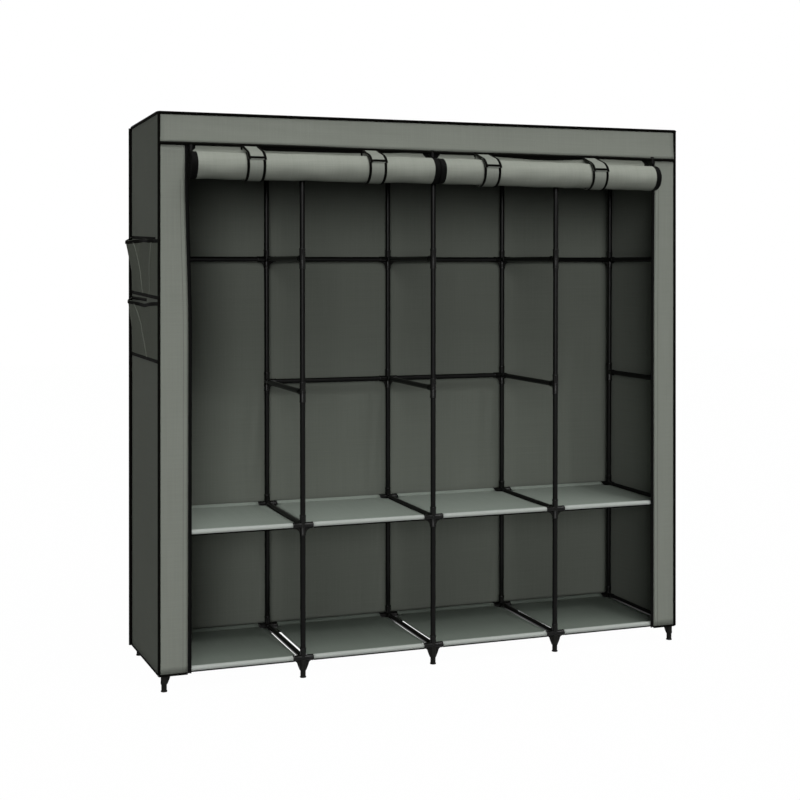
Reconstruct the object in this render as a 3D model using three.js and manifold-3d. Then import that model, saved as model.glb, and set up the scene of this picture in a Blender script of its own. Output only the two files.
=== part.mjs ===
// Portable fabric wardrobe: a push-together frame of steel tubes and moulded connectors,
// eight cloth shelves on tubes, and a sewn cloth cover whose two zip doors are rolled up.
// Millimetres, +Z up, the open front towards -Y.

import * as THREE from 'three';
import { mergeVertices } from 'three/addons/utils/BufferGeometryUtils.js';
import Module from 'manifold-3d';

// Tube frame
const bayCount = 4;
const bayPitch = 420;
const frameDepth = 415;
const storeyCount = 4;
const storeyPitch = 400;
const firstLevelHeight = 59;
const tubeDiameter = 16;
const roundSides = 6;

// Moulded connectors: sockets, webs under them, caps and feet
const fitGap = 0.3;
const socketWall = 1.45;
const socketReach = 31;
const plugDepth = 20;
const webThickness = 4;
const webReach = 27;
const webDrop = 29;
const webCurveSteps = 2;
const capHeight = 11.5;
const footDiameter = 18;
const footWebReach = 18.5;
const footWebEndHeight = 22;
const hangerSleeveLength = 30;
const overrun = 5;

// Cloth shelves
const shelfSleeveWall = 1.5;
const shelfSleeveEndGap = 2;
const shelfThickness = 1.5;
const shelfSag = 5;
const shelfSagSteps = 6;
const shelfSideGap = 18;
const shelfNotchGap = 4;

// Cover
const clothThickness = 1.5;
const coverSideSlack = 3.75;
const coverFrontSlack = 2.25;
const coverRearSlack = 20.25;
const coverRearFlare = 7;
const roofFall = 8;
const hemFrontHeight = 50;
const hemRearHeight = 27;
const headerDrop = 88;
const headerHemHeight = 6;
const headerHemBulge = 3.2;
const stripWidth = 90;
const zipTapeWidth = 11;

// Rolled doors
const rollRadius = 42;
const rollCoreRadius = 7;
const rollTurns = 6;
const rollStepsPerTurn = 18;
const rollLayerThickness = 3.8;
const rollDrop = 67;
const rollEndInset = 5;
const rollShift = -10;
const rollMeetingGap = 2;
const neckThickness = 1.2;
const neckInset = 20;

// Straps that hold the rolls, and the flaps that close over them. Angles run round the roll
// in degrees, from its back down and forwards.
const strapWidth = 56;
const strapThickness = 1.2;
const strapPlaceShares = [[0.246, 0.734], [0.22, 0.708]];
const strapEndAngle = 240;
const flapHingeOffset = 0.8;
const flapEndAngle = 214;

// Zip sliders with their pull tabs
const sliderWidth = 12;
const sliderHeight = 22;
const sliderDepth = 5;
const sliderNoseWidth = 8;
const pullTabWidth = 7;
const pullTabThickness = 1.6;
const pullTabHoleWidth = 3;

// Side pockets
const pocketHeight = 171;
const pocketPitch = 185;
const pocketTopDrop = 366;
const pocketThickness = 1.2;
const pocketGape = 27;
const pocketEdgeInset = 2;
const pocketRidgeFootShare = 0.6;
const pocketRidgeMouthShare = 0.9;
const pocketFrontColumns = 7;
const pocketRearColumns = 2;
const pocketRows = 4;

const wasm = await Module();
wasm.setup();

const alongX = new THREE.Vector3(1, 0, 0);
const alongY = new THREE.Vector3(0, 1, 0);
const alongZ = new THREE.Vector3(0, 0, 1);
const towardsLeft = alongX.clone().negate();
const towardsRight = alongX;
const towardsFront = alongY.clone().negate();
const towardsRear = alongY;

const cloth = new THREE.MeshStandardMaterial({ color: '#787c74', roughness: 0.95 });
const shelfCloth = new THREE.MeshStandardMaterial({ color: '#6d746c', roughness: 0.9 });
const webbing = new THREE.MeshStandardMaterial({ color: '#55585a', roughness: 0.95 });
const zipBlack = new THREE.MeshStandardMaterial({ color: '#141412', roughness: 0.7 });
const paintedSteel = new THREE.MeshStandardMaterial({ color: '#1d1e1c', roughness: 0.4, metalness: 0.6 });

// Levels, posts and radii that everything else lines up with
const tubeRadius = tubeDiameter / 2;
const boreRadius = tubeRadius + fitGap;
const socketRadius = boreRadius + socketWall;
const rodEndInset = socketReach - plugDepth;
const frontRow = -frameDepth / 2;
const rearRow = frameDepth / 2;
const levels = [];
for (let level = 0; level <= storeyCount; level += 1) {
  levels.push(firstLevelHeight + level * storeyPitch);
}
const topLevel = storeyCount;
const columns = [];
for (let column = 0; column <= bayCount; column += 1) {
  columns.push((column - bayCount / 2) * bayPitch);
}
const lastColumn = bayCount;

// Turns a closed three.js geometry into a solid that can be joined and cut.
function solidOf(geometry) {
  geometry.deleteAttribute('normal');
  geometry.deleteAttribute('uv');
  const merged = mergeVertices(geometry);
  return new wasm.Manifold(new wasm.Mesh({
    numProp: 3,
    vertProperties: new Float32Array(merged.attributes.position.array),
    triVerts: new Uint32Array(merged.index.array),
  }));
}

function join(solids) {
  return solids.reduce((whole, next) => whole.add(next));
}

// The finished pieces; nothing overlaps and nothing is hidden.
const wardrobe = new THREE.Group();

function addPiece(name, solid, material, place = new THREE.Vector3()) {
  const { vertProperties, triVerts } = solid.getMesh();
  const geometry = new THREE.BufferGeometry();
  geometry.setAttribute('position', new THREE.BufferAttribute(vertProperties, 3));
  geometry.setIndex(new THREE.BufferAttribute(triVerts, 1));
  geometry.computeVertexNormals();
  const piece = new THREE.Mesh(geometry, material);
  piece.name = name;
  piece.position.copy(place);
  wardrobe.add(piece);
}

// A round bar along a direction, between two distances from a point. Its flats face along the
// axes at the true radius, so that bars that cross meet flat to flat.
function bar(direction, radius, from, to, at = new THREE.Vector3()) {
  const cornerRadius = radius / Math.cos(Math.PI / roundSides);
  const geometry = new THREE.CylinderGeometry(cornerRadius, cornerRadius, to - from, roundSides);
  geometry.rotateY(Math.PI / roundSides);
  geometry.translate(0, (from + to) / 2, 0);
  geometry.applyQuaternion(new THREE.Quaternion().setFromUnitVectors(alongY, direction));
  geometry.translate(at.x, at.y, at.z);
  return solidOf(geometry);
}

function block(low, high) {
  const size = high.clone().sub(low);
  const geometry = new THREE.BoxGeometry(size.x, size.y, size.z);
  const middle = low.clone().add(high).multiplyScalar(1 / 2);
  geometry.translate(middle.x, middle.y, middle.z);
  return solidOf(geometry);
}

// An outline drawn in depth and height, run out sideways along X.
function runSideways(outline, fromX, toX) {
  const shape = new THREE.Shape(outline);
  const geometry = new THREE.ExtrudeGeometry(shape, { depth: toX - fromX, bevelEnabled: false });
  geometry.applyMatrix4(new THREE.Matrix4().makeBasis(alongY, alongZ, alongX));
  geometry.translate(fromX, 0, 0);
  return solidOf(geometry);
}

// A cloth sheet as a closed skin: a grid of points on each face, joined round the edge.
// face(across, along, side) gives a point, with across and along from 0 to 1 and side 0 or 1.
function skin(acrossSteps, alongSteps, face) {
  const points = [];
  const triangles = [];
  const rowLength = acrossSteps + 1;
  const faceLength = rowLength * (alongSteps + 1);
  for (const side of [0, 1]) {
    for (let along = 0; along <= alongSteps; along += 1) {
      for (let across = 0; across <= acrossSteps; across += 1) {
        points.push(...face(across / acrossSteps, along / alongSteps, side).toArray());
      }
    }
  }
  const quad = (a, b, c, d) => triangles.push(a, b, c, a, c, d);
  for (let along = 0; along < alongSteps; along += 1) {
    for (let across = 0; across < acrossSteps; across += 1) {
      const near = along * rowLength + across;
      const far = near + rowLength;
      quad(near, near + 1, far + 1, far);
      quad(faceLength + near, faceLength + far, faceLength + far + 1, faceLength + near + 1);
    }
  }
  const rim = [];
  for (let across = 0; across < acrossSteps; across += 1) rim.push(across);
  for (let along = 0; along < alongSteps; along += 1) rim.push(along * rowLength + acrossSteps);
  for (let across = acrossSteps; across > 0; across -= 1) rim.push(alongSteps * rowLength + across);
  for (let along = alongSteps; along > 0; along -= 1) rim.push(along * rowLength);
  rim.forEach((start, index) => {
    const end = rim[(index + 1) % rim.length];
    quad(end, start, faceLength + start, faceLength + end);
  });
  if (enclosedVolume(points, triangles) < 0) triangles.reverse();
  const geometry = new THREE.BufferGeometry();
  geometry.setAttribute('position', new THREE.BufferAttribute(new Float32Array(points), 3));
  geometry.setIndex(triangles);
  return solidOf(geometry);
}

function enclosedVolume(points, triangles) {
  const corner = (index) => new THREE.Vector3().fromArray(points, triangles[index] * 3);
  let volume = 0;
  for (let index = 0; index < triangles.length; index += 3) {
    volume += corner(index).dot(corner(index + 1).cross(corner(index + 2)));
  }
  return volume;
}

// Connectors. Each has an upright sleeve and a socket for every tube that meets it, with a
// curved web below the socket. The sockets are bored for the tubes that push in.
function web(direction, reach, drop, at) {
  const outline = new THREE.Shape();
  outline.moveTo(0, 0);
  outline.lineTo(reach, 0);
  outline.lineTo(reach, -socketRadius);
  outline.quadraticCurveTo(socketRadius, -socketRadius, tubeRadius, -drop);
  outline.lineTo(0, -drop);
  const settings = { depth: webThickness, bevelEnabled: false, curveSegments: webCurveSteps };
  const geometry = new THREE.ExtrudeGeometry(outline, settings);
  geometry.translate(0, 0, -webThickness / 2);
  const sideways = direction.clone().cross(alongZ);
  geometry.applyMatrix4(new THREE.Matrix4().makeBasis(direction, alongZ, sideways));
  geometry.translate(at.x, at.y, at.z);
  return solidOf(geometry);
}

function connector(level, directions, row) {
  const at = new THREE.Vector3(0, row, levels[level]);
  const sleeveFrom = level === 0 ? 0 : -socketReach;
  const sleeveTo = level === topLevel ? capHeight : socketReach;
  const solids = [bar(alongZ, socketRadius, sleeveFrom, sleeveTo, at)];
  if (level === 0) {
    solids.push(bar(alongZ, footDiameter / 2, -firstLevelHeight, 0, at));
  }
  const reach = level === 0 ? footWebReach : webReach;
  const drop = level === 0 ? firstLevelHeight - footWebEndHeight : webDrop;
  for (const direction of directions) {
    solids.push(bar(direction, socketRadius, 0, socketReach, at));
    solids.push(web(direction, reach, drop, at));
  }
  return join(solids);
}

function bore(direction, at) {
  return bar(direction, boreRadius, rodEndInset - fitGap, socketReach + overrun, at);
}

// Which bays have a tube or shelf at a level, on the front and on the rear of the frame.
const middleBays = [Math.floor((bayCount - 1) / 2), Math.ceil((bayCount - 1) / 2)];
const shelfLevels = [0, 1];
const middleLevel = 2;
function isSpanned(row, level, bay) {
  if (bay < 0 || bay >= bayCount) return false;
  if (shelfLevels.includes(level) || level === topLevel) return true;
  if (row === frontRow) return false;
  return level === middleLevel ? middleBays.includes(bay) : true;
}

// Posts: tubes and connectors stacked from the foot up. A rear post carries its depth tubes.
function post(row, column) {
  const height = levels[topLevel] - levels[0];
  const solids = [bar(alongZ, tubeRadius, 0, height, new THREE.Vector3(0, row, levels[0]))];
  const bores = [];
  const inwards = row === frontRow ? towardsRear : towardsFront;
  levels.forEach((levelHeight, level) => {
    const at = new THREE.Vector3(0, row, levelHeight);
    const sockets = [];
    if (isSpanned(row, level, column - 1)) sockets.push(towardsLeft);
    if (isSpanned(row, level, column)) sockets.push(towardsRight);
    if (row === frontRow) bores.push(bore(inwards, at));
    bores.push(...sockets.map((direction) => bore(direction, at)));
    solids.push(connector(level, [...sockets, inwards], row));
    if (row === rearRow) {
      solids.push(bar(inwards, tubeRadius, 0, frameDepth - rodEndInset, at));
    }
  });
  if (row === rearRow) {
    const at = new THREE.Vector3(0, 0, levels[topLevel]);
    const sides = [];
    if (column > 0) sides.push(towardsLeft);
    if (column < lastColumn) sides.push(towardsRight);
    solids.push(bar(alongY, socketRadius, -hangerSleeveLength / 2, hangerSleeveLength / 2, at));
    for (const side of sides) {
      solids.push(bar(side, socketRadius, 0, socketReach, at));
      bores.push(bore(side, at));
    }
  }
  return join(solids).subtract(join(bores));
}

columns.forEach((x, column) => {
  const place = new THREE.Vector3(x, 0, 0);
  addPiece(`front_post_${column + 1}`, post(frontRow, column), paintedSteel, place);
  addPiece(`rear_post_${column + 1}`, post(rearRow, column), paintedSteel, place);
});

// Cross tubes between the posts, pushed into the sockets at both ends
const rodHalfLength = bayPitch / 2 - rodEndInset;
const crossTube = bar(alongX, tubeRadius, -rodHalfLength, rodHalfLength);
const upperLevel = 3;
const crossTubeRows = [
  { name: 'top_front_rod', row: frontRow, level: topLevel },
  { name: 'top_rear_rod', row: rearRow, level: topLevel },
  { name: 'upper_rear_rod', row: rearRow, level: upperLevel },
  { name: 'middle_rear_rod', row: rearRow, level: middleLevel },
  { name: 'hanging_rod', row: 0, level: topLevel },
];
for (const { name, row, level } of crossTubeRows) {
  for (let bay = 0; bay < bayCount; bay += 1) {
    if (isSpanned(row, level, bay)) {
      const place = new THREE.Vector3(columns[bay] + bayPitch / 2, row, levels[level]);
      addPiece(`${name}_${bay + 1}`, crossTube, paintedSteel, place);
    }
  }
}

// Shelves: a cloth sheet with a sewn sleeve at the front and rear, threaded on two tubes
// that push into the sockets. The corners are notched round the connectors.
function shelf() {
  const sleeveRadius = tubeRadius + shelfSleeveWall;
  const sleeveHalfLength = bayPitch / 2 - socketReach - shelfSleeveEndGap;
  const sheetHalfWidth = bayPitch / 2 - shelfSideGap;
  const notchFrom = frameDepth / 2 - socketRadius - shelfNotchGap;
  const sheetTop = sleeveRadius - fitGap;
  const upper = [];
  for (let step = 0; step <= shelfSagSteps; step += 1) {
    const share = (step / shelfSagSteps) * 2 - 1;
    upper.push(new THREE.Vector2(share * frameDepth / 2, sheetTop - shelfSag * (1 - share * share)));
  }
  const lower = upper.map((point) => new THREE.Vector2(point.x, point.y - shelfThickness));
  const outline = [...upper, ...lower.reverse()];
  let sheet = runSideways(outline, -sheetHalfWidth, sheetHalfWidth);
  for (const side of [-1, 1]) {
    for (const end of [-1, 1]) {
      const inner = new THREE.Vector3(side * sleeveHalfLength, end * notchFrom, -sleeveRadius);
      const outerX = side * (sheetHalfWidth + overrun);
      const outerY = end * (frameDepth / 2 + overrun);
      const outer = new THREE.Vector3(outerX, outerY, sleeveRadius + overrun);
      const low = inner.clone().min(outer);
      const high = inner.clone().max(outer);
      sheet = sheet.subtract(block(low, high));
    }
  }
  const solids = [sheet];
  for (const row of [frontRow, rearRow]) {
    const at = new THREE.Vector3(0, row, 0);
    solids.push(bar(alongX, sleeveRadius, -sleeveHalfLength, sleeveHalfLength, at));
    solids.push(bar(alongX, tubeRadius, -rodHalfLength, rodHalfLength, at));
  }
  return join(solids);
}

const shelfSolid = shelf();
const shelfNames = ['lower_shelf', 'upper_shelf'];
shelfLevels.forEach((level, index) => {
  for (let bay = 0; bay < bayCount; bay += 1) {
    const place = new THREE.Vector3(columns[bay] + bayPitch / 2, 0, levels[level]);
    addPiece(`${shelfNames[index]}_${bay + 1}`, shelfSolid, shelfCloth, place);
  }
});

// Cover: flat cut panels, sewn edge to edge. The rear is wider than the front, the roof falls
// to the rear and rests on the rear caps, and the lower hem is lower at the rear.
const frontFace = frontRow - socketRadius - coverFrontSlack - clothThickness;
const frontInner = frontFace + clothThickness;
const rearInner = rearRow + socketRadius + coverRearSlack;
const rearFace = rearInner + clothThickness;
const coverDepth = rearFace - frontFace;
const frontHalfWidth = lastColumn * bayPitch / 2 + socketRadius + coverSideSlack + clothThickness;
const rearCapEdge = rearRow + socketRadius;
const capTop = levels[topLevel] + capHeight;

function halfWidthAt(y) {
  return frontHalfWidth + coverRearFlare * (y - frontFace) / coverDepth;
}

function roofUndersideAt(y) {
  return capTop + fitGap + roofFall * (rearCapEdge - y) / coverDepth;
}

function hemAt(y) {
  return hemFrontHeight + (hemRearHeight - hemFrontHeight) * (y - frontFace) / coverDepth;
}

const mix = THREE.MathUtils.lerp;
const roofTop = roofUndersideAt(frontFace) + clothThickness;
const headerBottom = roofTop - headerDrop;
const stripInner = frontHalfWidth - stripWidth;

const roof = skin(1, 1, (across, along, side) => {
  const y = mix(frontFace, rearFace, along);
  const x = mix(-1, 1, across) * halfWidthAt(y);
  return new THREE.Vector3(x, y, roofUndersideAt(y) + side * clothThickness);
});
addPiece('cover_top', roof, cloth);

const sideFrontEdge = frontInner + fitGap;
const sideRearEdge = rearInner - fitGap;
for (const [name, hand] of [['cover_side_left', -1], ['cover_side_right', 1]]) {
  const panel = skin(1, 1, (across, along, side) => {
    const y = mix(sideFrontEdge, sideRearEdge, across);
    const z = mix(hemAt(y), roofUndersideAt(y) - fitGap, along);
    return new THREE.Vector3(hand * (halfWidthAt(y) - side * clothThickness), y, z);
  });
  addPiece(name, panel, cloth);
}

const rearHalfWidth = halfWidthAt(rearInner);
const back = block(
  new THREE.Vector3(-rearHalfWidth, rearInner, hemRearHeight),
  new THREE.Vector3(rearHalfWidth, rearFace, roofUndersideAt(rearFace) - fitGap),
);
addPiece('cover_back', back, cloth);

// The header hangs over the top of the opening and ends in a thick rolled hem.
const headerPanel = block(
  new THREE.Vector3(-frontHalfWidth, frontFace, headerBottom),
  new THREE.Vector3(frontHalfWidth, frontInner, roofUndersideAt(frontInner) - fitGap),
);
const headerHemFront = frontFace - headerHemBulge;
const headerHem = block(
  new THREE.Vector3(-frontHalfWidth, headerHemFront, headerBottom),
  new THREE.Vector3(frontHalfWidth, frontInner, headerBottom + headerHemHeight),
);
const hemInnerHalfWidth = frontHalfWidth - clothThickness - fitGap;
const headerHemInside = block(
  new THREE.Vector3(-hemInnerHalfWidth, frontFace, headerBottom),
  new THREE.Vector3(hemInnerHalfWidth, frontInner + clothThickness, headerBottom + headerHemHeight),
);
addPiece('cover_header', join([headerPanel, headerHem, headerHemInside]), cloth);

const belowHeader = headerBottom - fitGap;
for (const [name, hand] of [['left', -1], ['right', 1]]) {
  const stripEdges = [hand * stripInner, hand * frontHalfWidth];
  const strip = block(
    new THREE.Vector3(Math.min(...stripEdges), frontFace, hemFrontHeight),
    new THREE.Vector3(Math.max(...stripEdges), frontInner, belowHeader),
  );
  addPiece(`cover_strip_${name}`, strip, cloth);
  const tapeEdges = [hand * (stripInner - fitGap - zipTapeWidth), hand * (stripInner - fitGap)];
  const tape = block(
    new THREE.Vector3(Math.min(...tapeEdges), frontFace, hemFrontHeight),
    new THREE.Vector3(Math.max(...tapeEdges), frontInner, belowHeader),
  );
  addPiece(`zipper_tape_${name}`, tape, zipBlack);
}

// Door rolls: each door is wound forwards into a spiral and hangs from the header by its neck.
const rollAxisY = frontFace - fitGap - rollRadius;
const rollAxisZ = headerBottom - rollDrop;
const rollLength = stripInner - rollEndInset;
const rollStepAngle = 2 * Math.PI / rollStepsPerTurn;
const strapEndStep = Math.round(strapEndAngle / 360 * rollStepsPerTurn);

// A point round the roll's axis: step 0 is at the back and steps run down, forwards and up.
function roundRoll(radius, step) {
  const angle = -step * rollStepAngle;
  return new THREE.Vector2(rollAxisY + radius * Math.cos(angle), rollAxisZ + radius * Math.sin(angle));
}

function spiralRadius(step) {
  const wound = step / (rollTurns * rollStepsPerTurn);
  return mix(rollRadius, rollCoreRadius + rollLayerThickness, wound);
}

function doorRoll() {
  const outer = [];
  const inner = [];
  for (let step = 0; step <= rollTurns * rollStepsPerTurn; step += 1) {
    outer.push(roundRoll(spiralRadius(step), step));
    inner.push(roundRoll(spiralRadius(step) - rollLayerThickness, step));
  }
  reportLeastGap(outer, inner);
  const spiral = runSideways([...outer, ...inner.reverse()], 0, rollLength);
  const neckBack = rollAxisY + rollRadius;
  const neckOutline = [
    new THREE.Vector2(neckBack, rollAxisZ),
    new THREE.Vector2(neckBack, belowHeader),
    new THREE.Vector2(neckBack - neckThickness, belowHeader),
    new THREE.Vector2(neckBack - neckThickness, rollAxisZ - neckThickness),
    new THREE.Vector2(neckBack - neckThickness / 2, rollAxisZ - neckThickness),
  ];
  return spiral.add(runSideways(neckOutline, neckInset, rollLength - neckInset));
}

// Measures the least gap between one turn and the next, on points.
function reportLeastGap(outer, inner) {
  let least = Infinity;
  for (let step = rollStepsPerTurn; step < outer.length; step += 1) {
    const turnOutside = inner[step - rollStepsPerTurn];
    least = Math.min(least, turnOutside.distanceTo(outer[step]));
  }
  console.log(`least gap between the turns of a door roll: ${least.toFixed(2)} mm`);
}

const rollStarts = [rollShift - rollMeetingGap / 2 - rollLength, rollShift + rollMeetingGap / 2];
const rollSolid = doorRoll();
['left', 'right'].forEach((name, index) => {
  addPiece(`door_roll_${name}`, rollSolid, cloth, new THREE.Vector3(rollStarts[index], 0, 0));
});

// Straps: webbing sewn under the header, down behind the roll, round it and up its front.
const strapInnerRadius = rollRadius + fitGap;
const strapOuterRadius = strapInnerRadius + strapThickness;
function strap() {
  const outer = [new THREE.Vector2(rollAxisY + strapOuterRadius, belowHeader)];
  const inner = [new THREE.Vector2(rollAxisY + strapInnerRadius, belowHeader)];
  for (let step = 0; step <= strapEndStep; step += 1) {
    outer.push(roundRoll(strapOuterRadius, step));
    inner.push(roundRoll(strapInnerRadius, step));
  }
  return runSideways([...outer, ...inner.reverse()], -strapWidth / 2, strapWidth / 2);
}

// Flaps: a short strap from the header's hem over the roll, closing on the long strap.
const flapInnerRadius = strapOuterRadius + fitGap;
function flap() {
  const hinge = new THREE.Vector2(headerHemFront - flapHingeOffset, headerBottom - flapHingeOffset);
  const endStep = flapEndAngle / 360 * rollStepsPerTurn;
  const steps = [endStep];
  for (let step = Math.ceil(endStep); step <= strapEndStep; step += 1) steps.push(step);
  const inner = steps.map((step) => roundRoll(flapInnerRadius, step));
  const outer = steps.map((step) => roundRoll(flapInnerRadius + strapThickness, step));
  const topPoint = roundRoll(flapInnerRadius + strapThickness / 2, strapEndStep);
  const run = hinge.clone().sub(topPoint).normalize();
  const half = new THREE.Vector2(-run.y, run.x).multiplyScalar(strapThickness / 2);
  inner.push(hinge.clone().sub(half));
  outer.push(hinge.clone().add(half));
  return runSideways([...outer, ...inner.reverse()], -strapWidth / 2, strapWidth / 2);
}

const strapSolid = strap();
const flapSolid = flap();
let strapNumber = 0;
strapPlaceShares.forEach((shares, index) => {
  for (const share of shares) {
    strapNumber += 1;
    const place = new THREE.Vector3(rollStarts[index] + share * rollLength, 0, 0);
    addPiece(`strap_${strapNumber}`, strapSolid, webbing, place);
    addPiece(`strap_flap_${strapNumber}`, flapSolid, webbing, place);
  }
});

// Zip sliders: a wedge-shaped body parked under the header's hem, with a holed pull tab.
function slider() {
  const bodyTop = belowHeader;
  const bodyBottom = bodyTop - sliderHeight / 2;
  const backFace = frontFace - fitGap;
  const bodyOutline = new THREE.Shape([
    new THREE.Vector2(-sliderNoseWidth / 2, bodyBottom),
    new THREE.Vector2(sliderNoseWidth / 2, bodyBottom),
    new THREE.Vector2(sliderWidth / 2, bodyTop),
    new THREE.Vector2(-sliderWidth / 2, bodyTop),
  ]);
  const body = new THREE.ExtrudeGeometry(bodyOutline, { depth: sliderDepth, bevelEnabled: false });
  const tabBottom = bodyTop - sliderHeight;
  const tabOutline = new THREE.Shape([
    new THREE.Vector2(-pullTabWidth / 2, tabBottom),
    new THREE.Vector2(pullTabWidth / 2, tabBottom),
    new THREE.Vector2(pullTabWidth / 2, bodyTop - sliderHeight / 4),
    new THREE.Vector2(-pullTabWidth / 2, bodyTop - sliderHeight / 4),
  ]);
  const hole = new THREE.Path();
  hole.absarc(0, tabBottom + pullTabWidth / 2, pullTabHoleWidth / 2, 0, 2 * Math.PI, true);
  tabOutline.holes.push(hole);
  const tabSettings = { depth: pullTabThickness, bevelEnabled: false, curveSegments: roundSides };
  const tab = new THREE.ExtrudeGeometry(tabOutline, tabSettings);
  tab.translate(0, 0, sliderDepth - fitGap);
  const facingFront = new THREE.Matrix4().makeBasis(alongX, alongZ, towardsFront);
  return join([body, tab].map((geometry) => {
    geometry.applyMatrix4(facingFront);
    geometry.translate(0, backFace, 0);
    return solidOf(geometry);
  }));
}

const sliderSolid = slider();
const tapeMiddle = stripInner - fitGap - zipTapeWidth / 2;
const sliderPlaces = [['left', -tapeMiddle], ['centre', rollShift], ['right', tapeMiddle]];
for (const [name, x] of sliderPlaces) {
  addPiece(`zip_slider_${name}`, sliderSolid, zipBlack, new THREE.Vector3(x, 0, 0));
}

// Side pockets: cloth sewn to the left panel at the front, rear and bottom edges. The mouth
// gapes outwards, with a fold that runs down from the rear of the mouth.
function pocket(mouthHeight) {
  const yFrom = sideFrontEdge + pocketEdgeInset;
  const yTo = sideRearEdge - pocketEdgeInset;
  const columnCount = pocketFrontColumns + pocketRearColumns;
  return skin(columnCount, pocketRows, (across, along, side) => {
    const column = Math.round(across * columnCount);
    const ridge = mix(pocketRidgeFootShare, pocketRidgeMouthShare, along);
    const beforeRidge = Math.min(column / pocketFrontColumns, 1);
    const pastRidge = Math.max((column - pocketFrontColumns) / pocketRearColumns, 0);
    const y = mix(yFrom, yTo, ridge * beforeRidge + (1 - ridge) * pastRidge);
    const z = mouthHeight - (1 - along) * pocketHeight;
    const bulge = along * (beforeRidge - pastRidge) * pocketGape;
    const off = fitGap + bulge + side * pocketThickness;
    return new THREE.Vector3(-halfWidthAt(y) - off, y, z);
  });
}

const upperMouth = roofTop - pocketTopDrop;
addPiece('pocket_upper', pocket(upperMouth), cloth);
addPiece('pocket_lower', pocket(upperMouth - pocketPitch), cloth);

// The origin is on the floor under the middle of the whole wardrobe.
const bounds = new THREE.Box3().setFromObject(wardrobe);
const middle = bounds.getCenter(new THREE.Vector3());
for (const piece of wardrobe.children) {
  piece.position.sub(new THREE.Vector3(middle.x, middle.y, bounds.min.z));
}

export default wardrobe;
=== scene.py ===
# A portable fabric wardrobe, four bays wide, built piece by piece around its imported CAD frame.
import math

import bmesh
import bpy
import numpy as np
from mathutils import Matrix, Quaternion, Vector


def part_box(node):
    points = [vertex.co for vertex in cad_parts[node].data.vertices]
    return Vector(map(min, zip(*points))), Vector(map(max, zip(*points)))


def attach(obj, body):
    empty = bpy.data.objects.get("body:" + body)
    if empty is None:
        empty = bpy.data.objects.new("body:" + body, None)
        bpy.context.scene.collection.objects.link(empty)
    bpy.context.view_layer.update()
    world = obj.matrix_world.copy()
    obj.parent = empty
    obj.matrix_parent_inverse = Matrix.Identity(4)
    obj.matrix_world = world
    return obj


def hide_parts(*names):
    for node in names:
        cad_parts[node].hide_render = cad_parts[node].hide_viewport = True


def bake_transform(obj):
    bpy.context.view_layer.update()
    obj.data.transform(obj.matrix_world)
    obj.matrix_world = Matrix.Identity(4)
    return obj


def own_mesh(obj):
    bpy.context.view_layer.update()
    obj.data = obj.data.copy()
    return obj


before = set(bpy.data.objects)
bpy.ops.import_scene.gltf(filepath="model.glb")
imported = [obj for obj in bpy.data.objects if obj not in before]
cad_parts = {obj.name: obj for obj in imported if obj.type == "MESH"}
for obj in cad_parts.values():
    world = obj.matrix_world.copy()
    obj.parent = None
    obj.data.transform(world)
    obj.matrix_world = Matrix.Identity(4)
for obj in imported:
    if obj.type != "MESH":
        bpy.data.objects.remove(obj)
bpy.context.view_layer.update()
scene = bpy.context.scene


# Camera: it stands left of the middle, at the height of the hanging rods, and looks down a little.
# Its place, lens and shift were fitted to the uprights, the feet and the cover's corners.
photo_width = 800
focal_length_in_pixels = 1429.3
horizon_rise_in_pixels = 100
sensor_width = 36
look_down = 1.367
look_right = 20.216
camera_data = bpy.data.cameras.new("photograph_camera")
camera_data.sensor_width = sensor_width
camera_data.lens = focal_length_in_pixels * sensor_width / photo_width
camera_data.shift_y = -horizon_rise_in_pixels / photo_width
camera_data.clip_end = 100
camera = bpy.data.objects.new("photograph_camera", camera_data)
camera.location = (-1.60833, -4.28209, 1.23691)
camera.rotation_euler = (math.radians(90 - look_down), 0, -math.radians(look_right))
scene.collection.objects.link(camera)
scene.camera = camera


# Studio: a white floor that keeps a faint shadow, a white surround, a high and a low soft lamp in
# front, and a small weak one that draws the thin lines of light on glossy paint and plastic.
def linear(colour):
    """An sRGB hex colour as linear RGBA."""
    parts = [int(colour[k:k + 2], 16) / 255 for k in (1, 3, 5)]
    return [p / 12.92 if p <= 0.04045 else ((p + 0.055) / 1.055) ** 2.4 for p in parts] + [1.0]


def add_node(tree, kind, inputs=None, **settings):
    """Adds a node to a tree, with its settings, and with its inputs linked or set."""
    node = tree.nodes.new(kind)
    for name, value in settings.items():
        setattr(node, name, value)
    for key, value in (inputs or {}).items():
        if isinstance(value, bpy.types.NodeSocket):
            tree.links.new(value, node.inputs[key])
        else:
            node.inputs[key].default_value = value
    return node


def new_material(name):
    """An empty node material, and its tree."""
    material = bpy.data.materials.new(name)
    material.use_nodes = True
    material.node_tree.nodes.clear()
    return material, material.node_tree


def link_object(name, data):
    """Puts a new object with this data in the scene."""
    made = bpy.data.objects.new(name, data)
    scene.collection.objects.link(made)
    return made


def seen_directly(tree):
    """1 for rays from the camera, and for those that gloss or glass sends on."""
    path = add_node(tree, "ShaderNodeLightPath").outputs
    gloss = add_node(tree, "ShaderNodeMath", {0: path["Is Camera Ray"], 1: path["Is Glossy Ray"]},
                     operation="MAXIMUM")
    return add_node(tree, "ShaderNodeMath", {0: gloss.outputs[0], 1: path["Is Transmission Ray"]},
                    operation="MAXIMUM").outputs[0]


white = linear("#FFFFFF")
world = bpy.data.worlds.new("white_surround")
world.use_nodes = True
air = world.node_tree
air.nodes.clear()
white_sheet = add_node(air, "ShaderNodeBackground", {"Color": white, "Strength": 1.0})
soft_fill = add_node(air, "ShaderNodeBackground", {"Color": white, "Strength": 0.04})
surround = add_node(air, "ShaderNodeMixShader",
                    {0: seen_directly(air), 1: soft_fill.outputs[0], 2: white_sheet.outputs[0]})
add_node(air, "ShaderNodeOutputWorld", {"Surface": surround.outputs[0]})
scene.world = world

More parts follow.
